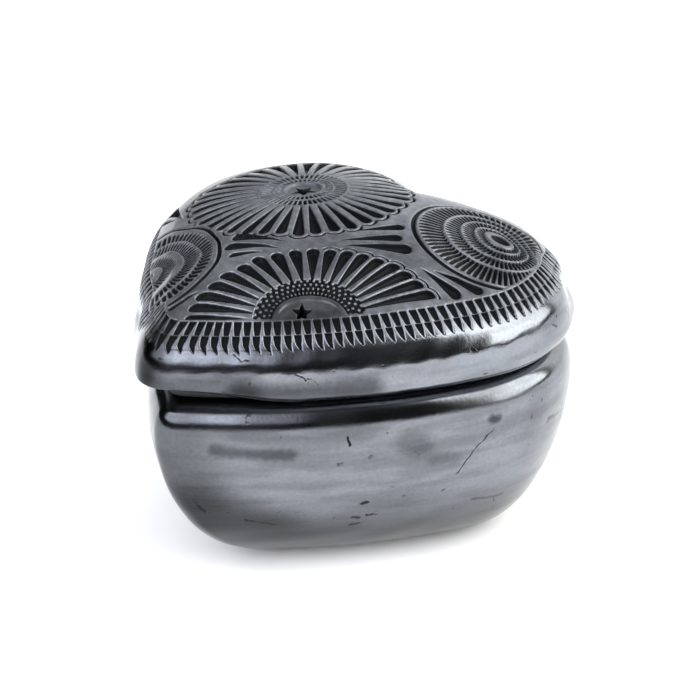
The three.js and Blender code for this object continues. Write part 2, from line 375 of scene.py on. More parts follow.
# Where the border runs further out: way along the edge where that begins and ends, and how far.
PUSHES = (((184.0, 196.0), (248.0, 240.0), 3.8), ((80.0, 100.0), (150.0, 130.0), 2.3))


def star_cut(star, x, y):
    """A small five-pointed hole."""
    radius, angle = polar_from(star["centre"], x, y)
    point = 2 * math.pi / 5
    turn = np.abs((angle - star["turn"] + point / 2) % point - point / 2)
    inner = star["size"] * STAR_PINCH
    tip = np.array([star["size"], 0.0])
    dent = np.array([inner * math.cos(point / 2), inner * math.sin(point / 2)])
    edge = dent - tip
    along, aside = radius * np.cos(turn), radius * np.sin(turn)
    outside = ((along - tip[0]) * -edge[1] + (aside - tip[1]) * edge[0]) / np.hypot(*edge)
    return STAR_DEPTH * soft(0.12, -0.15, -outside)


def sun_cut(x, y):
    """A full sunburst round a smooth dish: two rings of fine notches and a ring of wells."""
    radius, angle = polar_from(SUN["centre"], x, y)
    pitch = 2 * math.pi / SUN["wells"]
    number = np.round(angle / pitch)
    turn = angle - number * pitch - 0.012 * chance(number, 3)
    along, aside = radius * np.cos(turn), radius * np.sin(turn)
    end = SUN["outer"] + 0.35 * chance(number, 5)
    half = SUN["half"] + 0.07 * chance(number, 6)
    cut = gouge(along, aside, SUN["inner"], end, 0.25, half, WELL_DEPTH, 0.35)
    cut += hoop(along, aside, end, half, 0.75, 0.36, 0.75)
    for inner, outer, teeth in SUN_RINGS:
        pits = soft(0.2, 0.8, 0.5 + 0.5 * np.cos(angle * teeth))
        cut += soft(inner, inner + 0.3, radius) * soft(outer, outer - 0.4, radius) * 0.85 * pits
    return cut


def half_sun_outer(angle):
    """How far out the half sun's wells reach, by direction from its middle."""
    turn = np.degrees(angle) - HALF_SUN_AXIS
    growth = np.where(turn < 0, HALF_SUN_GROWTH_RIGHT, HALF_SUN_GROWTH_LEFT)
    return HALF_SUN_SHORTEST + growth * (turn / HALF_SUN_GROWTH_SPAN) ** 2


def half_sun_place(x, y):
    """Distance from the half sun's middle, direction, and the ring of its flattened middle part."""
    radius, angle = polar_from(HALF_SUN_CENTRE, x, y)
    angle = np.where(angle < -math.pi / 2, angle + 2 * math.pi, angle)
    facing = np.clip(np.cos(angle - math.radians(HALF_SUN_AXIS)), 0.0, 1.0)
    return radius, angle, radius + HALF_SUN_FLATTENING * facing**2


def bead_rows(ring, angle):
    """The half sun's sunken bed with rows of beads left standing in it."""
    inner, outer = HALF_SUN_BED
    beads = np.zeros_like(ring)
    for row, (centre, size, count) in enumerate(HALF_SUN_BEADS):
        phase = angle * count + math.pi * (row % 2)
        beads += (0.5 + 0.5 * np.cos(phase)) * np.exp(-(((ring - centre) / size) ** 2))
    bed = soft(inner, inner + 0.3, ring) * soft(outer, outer - 0.4, ring)
    return bed * (0.75 - 0.95 * np.minimum(beads, 0.78))


def half_sun_cut(x, y):
    """A half sunburst round a smooth disc, cut off by the border: rows of beads and wells."""
    radius, angle, ring = half_sun_place(x, y)
    way = (np.degrees(angle) - HALF_SUN_AXIS) / 90
    paced = HALF_SUN_PACE(way)
    spread = math.radians(90) / HALF_SUN_PACE.deriv()(way)
    number = np.round(paced)
    turn = (paced - number) * spread
    along, aside = radius * np.cos(turn), radius * np.sin(turn)
    end = half_sun_outer(angle) + 0.3 * chance(number, 12)
    half = np.clip(end * spread * (0.43 + 0.02 * chance(number, 13)), 0.9, 1.75)
    wanted = (number >= 0) & (number < HALF_SUN_WELLS)
    start = radius - ring + HALF_SUN_BED[1] - 0.4 + 0.6 * soft(160.0, 200.0, np.degrees(angle))
    cut = gouge(along, aside, start, end, 0.3, half, WELL_DEPTH, 0.3) * wanted
    cut += hoop(along, aside, end, half, 0.6, 0.28, 0.5) * wanted * (number < HALF_SUN_CRESCENTS)
    return cut + bead_rows(ring, angle)


def combs(bands, level, angle):
    """The fine grooves of a motif's bands, at points whose level and direction are given."""
    cut = np.zeros_like(level)
    for inner, outer, count, depth in bands:
        share = np.clip((level - inner) / (outer - inner), 0.0, 1.0)
        inside = soft(inner - 0.05, inner + 0.15, level) * soft(outer + 0.1, outer - 0.2, level)
        grooves = soft(0.2, 0.75, 0.5 + 0.5 * np.cos(angle * count))
        cut += inside * depth * (1 - 0.35 * share) * grooves
    return cut


def slopes(bands, level, depth):
    """How far each band lies below the ground, most at its inner edge."""
    cut = np.zeros_like(level)
    for inner, outer, *_ in bands:
        share = np.clip((level - inner) / (outer - inner), 0.0, 1.0)
        cut += soft(inner - 0.1, inner + 0.15, level) * (1 - share) * depth
    return cut


def shell_growth(angle):
    """How far the shell's curves stand out from circles, by direction from its middle."""
    right = soft(math.radians(52), math.radians(-30), angle)
    left = soft(math.radians(88), math.radians(150), angle)
    return 1 + 0.62 * right + 0.5 * left


def shell_place(x, y):
    """Which of the shell's curves a point is on, and the way travelled along them."""
    radius, angle = polar_from(SHELL_CENTRE, x, y)
    angle = np.where(angle < -math.pi * 0.75, angle + 2 * math.pi, angle)
    turns = np.linspace(-math.pi, math.pi * 1.25, 400)
    travelled = np.cumsum(shell_growth(turns)) * (turns[1] - turns[0])
    growth = 1 + (shell_growth(angle) - 1) * soft(0.0, 13.0, radius)
    return radius / growth, np.interp(angle, turns, travelled)


def shell_cut(x, y):
    """Nested curved bands like a sea shell, cut off by the border."""
    level, travelled = shell_place(x, y)
    cut = combs(SHELL_BANDS, level, travelled)
    cut += 0.5 * soft(1.7, 1.2, level)
    return cut + 0.9 * soft(0.5, 0.1, np.abs(level - SHELL_RIM))


def snail_level(x, y):
    """Which of the snail's circles a point is on, and the direction from that circle's centre.

    The circles' centres drift as the circles grow, so they crowd together on one side."""
    qx, qy = x - SNAIL_HEART[0], y - SNAIL_HEART[1]
    drift = SNAIL_DRIFT @ SNAIL_DRIFT
    forward = qx * SNAIL_DRIFT[0] + qy * SNAIL_DRIFT[1]
    level = (-forward + np.sqrt(forward**2 + (1 - drift) * (qx**2 + qy**2))) / (1 - drift)
    angle = np.arctan2(qy - SNAIL_DRIFT[1] * level, qx - SNAIL_DRIFT[0] * level)
    return level, angle


def snail_cut(x, y):
    """A snail of nested bands of fine grooves round a hollow boss."""
    level, angle = snail_level(x, y)
    cut = combs(SNAIL_BANDS, level, angle)
    cut += 0.8 * soft(2.3, 1.2, level)
    return cut + 0.7 * soft(0.45, 0.1, np.abs(level - SNAIL_RIM))


# The leaf cuts between the motifs: where each starts and ends, and half its width at its end.
LEAVES = (
    ((2.2, -10.2), (-8.7, -13.4), 1.7),
    ((3.2, -12.4), (-7.5, -16.9), 1.75),
    ((1.6, -15.2), (-4.0, -19.2), 1.15),
    ((9.8, 1.4), (15.4, 9.9), 1.4),
    ((10.0, -3.0), (17.7, 6.6), 1.45),
    ((11.6, -3.6), (21.4, 5.3), 1.75),
    ((25.6, 3.0), (34.6, 4.2), 1.5),
    ((27.6, 4.6), (36.3, 8.9), 1.5),
    ((-0.9, -30.2), (-3.5, -36.4), 1.6),
    ((-28.5, -5.2), (-39.0, 3.0), 1.5),
    ((-30.5, -4.8), (-39.5, -0.8), 1.1),
)


def leaf_cut(x, y):
    """Long single cuts that fill the ground between the motifs."""
    cut = np.zeros_like(x)
    for start, end, half in LEAVES:
        start, end = np.array(start), np.array(end)
        length = np.hypot(*(end - start))
        unit = (end - start) / length
        along = (x - start[0]) * unit[0] + (y - start[1]) * unit[1]
        aside = (y - start[1]) * unit[0] - (x - start[0]) * unit[1]
        cut = np.maximum(cut, gouge(along, aside, 0.0, length, 0.25, half, WELL_DEPTH))
    return cut


def top_cut(x, y):
    """The depth of the carving on the dome at points of the plan, without its smooth hollows."""
    cut = sun_cut(x, y)
    half_sun = half_sun_cut(x, y)
    snail = snail_level(x, y)[0] < SNAIL_REACH
    shell = shell_place(x, y)[0] < SHELL_REACH
    cut = np.where(snail, snail_cut(x, y), np.where(shell, shell_cut(x, y), cut + half_sun))
    cut = np.where(snail | shell, cut, np.maximum(cut, leaf_cut(x, y)))
    for star in STARS:
        cut = np.maximum(cut, star_cut(star, x, y))
    return cut


def smooth_cut(x, y):
    """The depth of the smooth hollows: the suns' discs and the slopes under the fine grooves."""
    radius = polar_from(SUN["centre"], x, y)[0]
    disc = 0.6 * soft(SUN_DISC, SUN_DISC - 0.6, radius) + 0.1 * soft(SUN_DISC, 0.0, radius)
    disc += 0.25 * soft(HALF_SUN_DISC, HALF_SUN_DISC - 0.5, half_sun_place(x, y)[2])
    snail = snail_level(x, y)[0]
    shell = shell_place(x, y)[0]
    disc += np.where(snail < SNAIL_RIM, slopes(SNAIL_BANDS, snail, SNAIL_SLOPE), 0.0)
    return disc + np.where(shell < SHELL_RIM, slopes(SHELL_BANDS, shell, SHELL_SLOPE), 0.0)


def notch(along, aside, length, narrow, wide, depth):
    """A short straight-sided cut, narrow at its outer end and wide and square at its inner one."""
    share = np.clip(along / length, 0.0, 1.0)
    bulging = 1 - (1 - share) ** 1.8
    inside = np.minimum(narrow + (wide - narrow) * bulging - np.abs(aside), length - along)
    inside = np.where(along < 0, -1.0, inside)
    return depth * (0.6 + 0.4 * share) * soft(0.0, 0.28, inside)


def border_cut(travel, inset):
    """Two rows of notches round the edge: travel is the way along it, inset the way in.

    On the side to the right of the tip they slant, and near the tip the outer row runs further out."""
    total = np.zeros_like(travel)
    pitch = EDGE_LENGTH / NOTCHES
    further = 0.6 * soft(40.0, 14.0, travel)
    slant = 0.02 + 0.26 * soft(0.0, 12.0, travel) * soft(76.0, 44.0, travel)
    for row in NOTCH_ROWS:
        place = travel / pitch + row["shift"] + slant * (inset - BORDER_LINE)
        number = np.round(place)
        aside = (place - number + 0.04 * chance(number % NOTCHES, 21)) * pitch
        outer = row["outer"] + (0.12 * chance(number, 23) - further) * (row["narrow"] == 0)
        length = row["inner"] - outer
        cut = notch(inset - outer, aside, length, row["narrow"], row["wide"], row["depth"])
        total = np.maximum(total, cut)
    return total


# ---- lid ---------------------------------------------------------------------------------------------


def dome_ring(outline, share, drop=0.0):
    """A ring on the dome, a share of the way from its middle to the outline of its edge."""
    away = outline - DOME_CENTRE
    reach = np.hypot(away[:, 0], away[:, 1])[:, None]
    rounding = (1 - share) * DOME_ROUNDING
    radius = share * ((1 - rounding) * reach + rounding * DOME_ROUND_RADIUS)
    height = DOME_EDGE + DOME_RISE * (1 - share**DOME_POWER) - drop
    return at_height(DOME_CENTRE + away / reach * radius, height)


def thinning(share):
    """Use every second, fourth or eighth column of a ring as the rings get shorter."""
    return 8 if share < 0.11 else 4 if share < 0.22 else 2 if share < 0.45 else 1


# What stands for the distance in from the edge where there is no border to measure it by.
ON_DOME = 99.0
UNDERSIDE = -99.0
# How much painted shade and dullness the smooth hollows get at most, where 1 is the floor of a full-depth
# well.
HOLLOWS_SHADE_AND_DULLNESS = 0.11


def lid_shape():
    """Rings of the uncarved lid from the top of the dome outwards, down and back underneath.

    With them, for each point: how far in from the edge it is, along the surface, and on the dome
    roughly how far in from the dome's edge."""
    edge = heart(DOME_EDGE_INSET)
    dome_steps, band_steps, roll_steps, lip_steps = 190, 32, 30, 14
    shares = [step / dome_steps for step in range(3, dome_steps + 1)]
    rings = [dome_ring(edge[:: thinning(share)], share) for share in shares]
    insets = [np.full(len(ring), ON_DOME) for ring in rings]
    edges = [np.full(len(ring), (1 - share) * DOME_REACH) for ring, share in zip(rings, shares)]
    for step in range(1, band_steps + 1):
        share = step / band_steps
        inset = DOME_EDGE_INSET + (BAND_INSET - DOME_EDGE_INSET) * share
        height = DOME_EDGE + (BAND_TOP - DOME_EDGE) * (0.85 * share + 0.15 * share**2)
        rings.append(at_height(heart(inset), height))
        insets.append(np.full(len(edge), inset))
    bulge = LID_SEAT + LIP_HEIGHT
    outward, last = BAND_INSET, (BAND_INSET, BAND_TOP)
    for step in range(1, roll_steps + 1):
        turn = (1 - (step / roll_steps) ** 1.5) * math.pi / 3
        inset = BAND_INSET * 2 * (1 - math.cos(turn))
        height = bulge + (BAND_TOP - bulge) * math.sin(turn) / math.sin(math.pi / 3)
        outward -= math.dist(last, (inset, height))
        last = inset, height
        rings.append(at_height(heart(inset), height))
        insets.append(np.full(len(edge), outward))
    for step in range(1, lip_steps + 1):
        turn = (1 - step / lip_steps) * math.pi / 2
        outline = heart(LIP_INSET * (1 - math.sin(turn)))[::2]
        lip = at_height(outline, bulge - LIP_HEIGHT * math.cos(turn))
        lip[:, 2] += TIP_LIFT * math.cos(turn) * soft(TIP_LIFT_FROM, -HEAD_LENGTH / 2, outline[:, 1])
        rings.append(lip)
        insets.append(np.full(len(outline), outward))
    under = (
        (SEAT_INSET, LID_SEAT),
        ((SEAT_INSET + LID_WALL_INSET) / 2, LID_SEAT),
        (LID_WALL_INSET - SEAT_CHAMFER, LID_SEAT),
        (LID_WALL_INSET, LID_SEAT + SEAT_CHAMFER),
        (LID_WALL_INSET, LID_SEAT + 3.0),
        (LID_WALL_INSET + 0.6, BAND_TOP - LID_THICKNESS + 1.5),
        (LID_WALL_INSET + 2.4, DOME_EDGE - LID_THICKNESS),
    )
    for inset, height in under:
        rings.append(at_height(heart(inset)[::4], height))
    for step in range(17, 0, -1):
        rings.append(dome_ring(edge[::4], step / 20, LID_THICKNESS))
    insets += [np.full(len(ring), UNDERSIDE) for ring in rings[len(insets):]]
    edges += [np.zeros(len(ring)) for ring in rings[len(edges):]]
    return rings, np.concatenate(insets), np.concatenate(edges)


# Where the potter's hand left the rim fuller or thinner: way along the edge from the tip, spread,
# amount, and the height above the seat from which it counts.
SWELLINGS = (
    {"at": 200.0, "spread": 13.0, "amount": 1.9, "from": 5.5},
    {"at": 232.0, "spread": 6.0, "amount": -1.2, "from": 4.0},
    {"at": 91.0, "spread": 5.0, "amount": -1.2, "from": 5.0},
    {"at": 251.0, "spread": 5.0, "amount": 0.9, "from": 0.0},
)


def swelling(travel, points, edge):
    """How far the hand-made rim stands out from the drawn one; nothing towards the dome's middle."""
    total = np.zeros(len(travel))
    for place in SWELLINGS:
        start = LID_SEAT + place["from"]
        share = soft(start, start + 2.0, points[:, 2])
        away = (travel - place["at"] + EDGE_LENGTH / 2) % EDGE_LENGTH - EDGE_LENGTH / 2
        total += place["amount"] * np.exp(-((away / place["spread"]) ** 2)) * share
    return total * soft(14.0, 4.0, edge)


def travel_round(rings):
    """How far round the edge each point of each ring is, measured on one line of the border."""
    line = heart(BORDER_LINE)
    travel = np.concatenate([[0.0], np.cumsum(steps_along(line))[:-1]])
    return np.concatenate([travel[:: len(line) // len(ring)] for ring in rings])


def make_lid(material):
    """The lid: rings, pushed in where it is carved and out where the potter left it fuller."""
    rings, inset, edge = lid_shape()
    top = [*DOME_CENTRE, LID_TOP]
    under = [*DOME_CENTRE, LID_TOP - LID_THICKNESS]
    points, faces = close_rings(top, rings, under)
    inset = np.concatenate([[ON_DOME], inset, [UNDERSIDE]])
    edge = np.concatenate([[ON_DOME], edge, [0.0]])
    travel = np.concatenate([[0.0], travel_round(rings), [0.0]])
    normals = point_normals(points, faces)
    outward = normals[:, :2] / np.maximum(np.hypot(normals[:, 0], normals[:, 1]), 0.3)[:, None]
    outside = inset != UNDERSIDE
    swell = swelling(travel, points, edge) * outside
    pushed = sum(far * soft(*begin, travel) * soft(*end, travel) for begin, end, far in PUSHES)
    from_edge = inset + pushed
    from_border = np.where(inset == ON_DOME, edge + pushed, from_edge - DOME_EDGE_INSET)
    cut = top_cut(points[:, 0], points[:, 1]) * soft(0.15, 0.9, from_border)
    cut = np.maximum(cut, border_cut(travel, from_edge))
    hollow = smooth_cut(points[:, 0], points[:, 1]) * soft(0.15, 3.0, from_border)
    uneven = 0.14 * ripple(points, 26.0, 40) + 0.07 * ripple(points, 9.0, 50)
    points = points + normals * (uneven * outside - cut - hollow)[:, None]
    points[:, :2] += outward * swell[:, None]
    marks = {
        # The cut mark also darkens the colour: matte cut clay with painted shade in the wells, and painted
        # shade in the smooth hollows.
        "cut": cut / WELL_DEPTH + np.minimum(0.5 * hollow, HOLLOWS_SHADE_AND_DULLNESS),
        "burnish": soft(3.6, 2.2, from_edge) * soft(0.15, 0.02, cut) * outside,
        "inside": (~outside).astype(float),
    }
    return make_object("lid_visual", points, faces, marks, material, "lid")


# ---- base --------------------------------------------------------------------------------------------


def draw_in(height):
    """How far the belly has drawn in, from 0 at the widest line to 1 at the foot."""
    down = 1 - height / WIDEST_HEIGHT
    return 1 - (1 - down**BELLY_POWER) ** (1 / BELLY_POWER)


def belly_ring(height, extra=0.0, drop=0.0):
    """The belly's outline at a height, drawn in further by some extra and lowered by a drop."""
    drawn = draw_in(height)
    outline = heart(BASE_INSET + FOOT_INSET * drawn + extra, BASE_COLUMNS)
    return at_height(outline, height - drop, BASE_SHIFT + FOOT_SHIFT * drawn)


def collar_profile():
    """Inset and height of the seat, the collar on it and the wall just under the collar."""
    inner = COLLAR_INSET + COLLAR_THICKNESS
    round_steps = 4
    # The seat is level from a little way in from the shoulder.
    profile = [(7.6, SEAT_HEIGHT - 0.1), (8.2, SEAT_HEIGHT), (COLLAR_INSET - SEAT_CHAMFER, SEAT_HEIGHT)]
    profile += [(COLLAR_INSET, SEAT_HEIGHT + SEAT_CHAMFER), (COLLAR_INSET, COLLAR_TOP - 2.5)]
    turns = [step / round_steps * math.pi / 2 for step in range(round_steps + 1)]
    for edge, side, way in ((COLLAR_INSET, 1, turns), (inner, -1, turns[::-1])):
        for turn in way:
            inset = edge + side * COLLAR_ROUND * (1 - math.cos(turn))
            profile.append((inset, COLLAR_TOP - COLLAR_ROUND * (1 - math.sin(turn))))
    profile += [(inner, COLLAR_TOP - 3.0), (inner, SEAT_HEIGHT - 1.0), (inner - 0.6, SEAT_HEIGHT - 5.0)]
    return profile


def base_shape():
    """Rings of the base from the middle of its foot outwards, up, over the seat and down inside."""
    rings = []
    foot = belly_ring(0.0)
    middle = np.array([BASE_SHIFT[0] + FOOT_SHIFT[0], DOME_CENTRE[1] + FOOT_SHIFT[1]])
    belly_steps, shoulder_steps, hollow_steps, corner_steps = 48, 24, 20, 5
    for share in (0.25, 0.5, 0.75):
        rings.append(at_height(middle + (foot[:, :2] - middle) * share, 0.0))
    for step in range(belly_steps):
        rings.append(belly_ring(WIDEST_HEIGHT * (1 - math.cos(step / belly_steps * math.pi / 2))))
    for step in range(shoulder_steps + 1):
        turn = step / shoulder_steps * math.pi / 2
        out = max(math.cos(turn), 0.0) ** (2 / SHOULDER_SQUARENESS)
        outline = heart(BASE_INSET + SHOULDER_INSET * (1 - out), BASE_COLUMNS)
        height = WIDEST_HEIGHT + SHOULDER_RISE * math.sin(turn) ** (2 / SHOULDER_SQUARENESS)
        rings.append(at_height(outline, height, BASE_SHIFT))
    outer_count = len(rings)
    for inset, height in collar_profile():
        rings.append(at_height(heart(inset, BASE_COLUMNS), height, BASE_SHIFT))
    hollow_top = SEAT_HEIGHT - HOLLOW_DROP
    hollow_foot = FLOOR_THICKNESS + WALL_THICKNESS
    for step in range(hollow_steps + 1):
        height = hollow_top + (hollow_foot - hollow_top) * step / hollow_steps
        rings.append(belly_ring(height, WALL_THICKNESS))
    for step in range(1, corner_steps + 1):
        turn = step / corner_steps * math.pi / 2
        extra = WALL_THICKNESS * (1 + 0.8 * (1 - math.cos(turn)))
        rings.append(belly_ring(hollow_foot, extra, WALL_THICKNESS * math.sin(turn)))
    floor = rings[-1]
    for share in (0.66, 0.33):
        rings.append(at_height(middle + (floor[:, :2] - middle) * share, FLOOR_THICKNESS))
    return middle, rings, outer_count


def make_base(material):
    """The base: rings, with a slight unevenness between its foot and its seat."""
    middle, rings, outer_count = base_shape()
    points, faces = close_rings([*middle, 0.0], rings, [*middle, FLOOR_THICKNESS])
    outer_points = 1 + sum(len(ring) for ring in rings[:outer_count])
    outside = np.arange(len(points)) < outer_points
    normals = point_normals(points, faces)
    height = points[:, 2]
    rise = soft(0.5, 8.0, height) * soft(SEAT_HEIGHT, SEAT_HEIGHT - 2, height) * outside
    uneven = 0.22 * ripple(points, 34.0, 60) + 0.09 * ripple(points, 11.0, 70)
    points = points + normals * (uneven * rise)[:, None]
    marks = {
        "cut": np.zeros(len(points)),
        "burnish": outside.astype(float),
        "inside": (~outside).astype(float),
    }
    return make_object("base_visual", points, faces, marks, material, "base")


# ---- materials -----------------------------------------------------------------------------------------


class Nodes:
    """A short way to add and link the nodes of one material or world."""

    def __init__(self, tree):
        self.tree = tree
        tree.nodes.clear()

    def add(self, kind, **settings):
        node = self.tree.nodes.new(kind)
        for name, value in settings.items():
            setattr(node, name, value)
        return node

    def link(self, source, target):
        self.tree.links.new(source, target)

    def value(self, node, name, what):
        """Sets an input to a number or colour, or links it to a socket."""
        if isinstance(what, bpy.types.NodeSocket):
            self.link(what, node.inputs[name])
        else:
            node.inputs[name].default_value = what

    def math(self, operation, first, second=0.0, clamp=False):
        """Arithmetic on two numbers or sockets."""
        node = self.add("ShaderNodeMath", operation=operation, use_clamp=clamp)
        self.value(node, 0, first)
        self.value(node, 1, second)
        return node.outputs[0]

    def mix(self, share, first, second):
        """A colour between two, by a share from 0 to 1."""
        node = self.add("ShaderNodeMix", data_type="RGBA")
        self.value(node, 0, share)
        self.value(node, 6, first)
        self.value(node, 7, second)
        return node.outputs[2]

    def blend(self, share, first, second):
        """A number between two, by a share from 0 to 1."""
        node = self.add("ShaderNodeMix", data_type="FLOAT")
        self.value(node, 0, share)
        self.value(node, 2, first)
        self.value(node, 3, second)
        return node.outputs[0]

    def tint(self, shade, colour):
        """A colour made lighter or darker by a number."""
        return self.vector("SCALE", colour, shade)

    def ramp(self, source, low, high):
        """0 at low, 1 at high, smooth in between."""
        node = self.add("ShaderNodeMapRange", interpolation_type="SMOOTHSTEP")
        self.value(node, 0, source)
        self.value(node, 1, low)
        self.value(node, 2, high)
        return node.outputs[0]

    def noise(self, coordinates, scale, detail=4.0, stretch=(1.0, 1.0, 1.0)):
        mapping = self.add("ShaderNodeMapping")
        mapping.inputs["Scale"].default_value = stretch
        self.link(coordinates, mapping.inputs["Vector"])
        node = self.add("ShaderNodeTexNoise")
        node.inputs["Scale"].default_value = scale
        node.inputs["Detail"].default_value = detail
        self.link(mapping.outputs[0], node.inputs["Vector"])
        return node.outputs["Fac"]

    def window(self, source, low, high, edge):
        """1 between low and high, falling to 0 beyond them over the width of the edge."""
        rising = self.ramp(source, low - edge / 2, low + edge / 2)
        falling = self.ramp(source, high + edge / 2, high - edge / 2)
        return self.math("MULTIPLY", rising, falling)

    def mark(self, name):
        """What a mesh says about each of its points under this name."""
        node = self.add("ShaderNodeAttribute", attribute_name=name)
        return node.outputs["Fac"]

    def vector(self, operation, first, second):
        """Arithmetic on vectors; the result is a number for a dot product or a distance."""
        node = self.add("ShaderNodeVectorMath", operation=operation)
        self.value(node, 0, first)
        self.value(node, "Scale" if operation == "SCALE" else 1, second)
        return node.outputs["Value" if operation in ("DOT_PRODUCT", "DISTANCE") else 0]

    def stroke(self, place, start, end, half, blur):
        """1 on a line between two points in millimetres, 0 further off than its half width and blur."""
        start, end = Vector(start) * MM, Vector(end) * MM
        run = end - start
        away = self.vector("SUBTRACT", place, start)
        share = self.math("DIVIDE", self.vector("DOT_PRODUCT", away, run), run.dot(run), clamp=True)
        distance = self.vector("DISTANCE", away, self.vector("SCALE", run, share))
        return self.ramp(distance, (half + blur) * MM, half * MM)


# Marks of making and use, and stretches of painted shade: a line's two ends, half its width, how far it
# fades, and how dark it is.
BASE_MARKS_AND_SHADE = (
    # The long scratch at the right, and a nick under the shoulder.
    ((41.9, 6.0, 33.3), (39.7, 2.6, 29.1), 0.08, 0.12, 0.9),
    ((39.7, 2.6, 29.1), (37.2, 0.5, 24.1), 0.10, 0.12, 0.9),
    ((27.0, -19.5, 36.0), (27.2, -19.1, 34.2), 0.20, 0.15, 0.9),
    # Pits low in front.
    ((26.0, -14.3, 19.3), (26.6, -13.4, 19.6), 0.30, 0.25, 0.9),
    ((25.4, -12.0, 15.7), (26.6, -10.6, 15.5), 0.25, 0.25, 0.95),
    ((23.6, -14.0, 15.3), (24.2, -13.3, 15.0), 0.25, 0.45, 0.8),
    ((22.3, -13.4, 13.0), (23.6, -12.2, 13.4), 0.20, 0.35, 0.8),
    # The smear at the left, and two nicks below it.
    ((9.4, -37.6, 34.2), (19.7, -27.7, 32.8), 0.30, 2.00, 0.55),
    ((9.7, -29.8, 16.1), (13.2, -25.2, 14.5), 0.12, 0.30, 0.8),
    ((4.2, -37.6, 21.0), (4.5, -35.9, 18.5), 0.12, 0.30, 0.7),
    # Small scratches and worn spots at the right.
    ((36.2, 6.6, 15.7), (38.5, 13.2, 14.9), 0.10, 0.45, 0.6),
    ((37.8, 11.6, 14.9), (35.6, 13.5, 10.6), 0.06, 0.16, 0.8),
    ((43.4, 20.7, 30.4), (41.7, 26.7, 29.3), 0.15, 0.50, 0.6),
    ((41.7, 26.7, 29.3), (38.6, 32.0, 28.1), 0.20, 0.50, 0.7),
    ((41.8, 5.6, 35.6), (42.0, 6.8, 35.4), 0.40, 1.10, 0.7),
    # Broad soft clouds: two of darker clay at the right front; the rest painted shade, high on the front,
    # at the right lobe, low at the left and front, and down the side by the tip.
    ((13.0, -34.2, 38.0), (30.0, -16.0, 38.0), 0.80, 3.00, 0.2),
    ((44.1, 17.3, 36.0), (43.4, 15.2, 30.0), 1.00, 4.00, 0.15),
    ((33.8, -9.5, 33.7), (34.6, -7.5, 32.5), 1.00, 3.50, 0.4),
    ((35.9, -4.3, 28.6), (37.4, -0.5, 28.0), 0.40, 2.50, 0.3),
    ((3.0, -38.0, 18.0), (12.0, -27.5, 11.0), 4.00, 9.00, 0.6),
    ((12.0, -27.5, 11.0), (22.0, -16.0, 8.0), 2.00, 8.00, 0.35),
    ((0.5, -43.5, 38.0), (2.0, -40.0, 18.0), 4.00, 14.00, 0.5),
)
LID_MARKS_AND_SHADE = (
    # Nicks and short scratches on the rim.
    ((1.4, -43.7, 53.1), (1.9, -43.4, 53.0), 0.30, 0.35, 0.7),
    ((11.7, -34.9, 54.3), (13.4, -34.3, 53.1), 0.06, 0.14, 0.9),
    ((13.1, -34.7, 53.1), (14.5, -33.1, 53.4), 0.06, 0.14, 0.9),
    ((21.3, -27.6, 50.5), (22.7, -26.3, 49.4), 0.08, 0.20, 0.9),
    ((22.8, -26.1, 49.8), (24.1, -24.8, 48.6), 0.06, 0.20, 0.8),
    ((43.9, 20.7, 50.8), (43.9, 22.1, 50.0), 0.12, 0.25, 0.7),
    ((42.4, 27.3, 48.6), (41.3, 28.8, 50.8), 0.10, 0.25, 0.6),
    # Painted shade: darker stretches low on the rim, at its tip, on the half sun's disc and at the right
    # lobe.
    ((-1.0, -45.0, 47.5), (14.0, -35.0, 46.5), 1.50, 4.50, 0.6),
    ((14.0, -35.0, 46.5), (30.0, -17.0, 46.5), 1.00, 3.50, 0.62),
    ((-3.0, -44.0, 54.0), (-5.5, -41.0, 46.0), 4.00, 4.00, 0.75),
    ((14.5, -24.0, 60.6), (20.5, -18.0, 61.4), 2.50, 3.50, 0.6),
    ((42.8, 25.2, 50.8), (43.9, 19.5, 51.0), 1.00, 3.00, 0.22),
)
BASE_SHEEN = (0.182, 0.194, 0.213)
LID_SHEEN = (0.205, 0.219, 0.242)
# The near-black of the cuts: matte cut clay, darkened further as painted shade in the recesses.
CUT_CLAY_AND_SHADE_COLOUR = (0.004, 0.005, 0.006, 1.0)
PIT_COLOUR = (0.012, 0.012, 0.013, 1.0)
INSIDE_COLOUR = (0.02, 0.021, 0.022, 1.0)
FLOOR_COLOUR = (0.93, 0.93, 0.935, 1.0)
WANDER = 1.2 * MM
BUMP_HEIGHT = 0.2 * MM


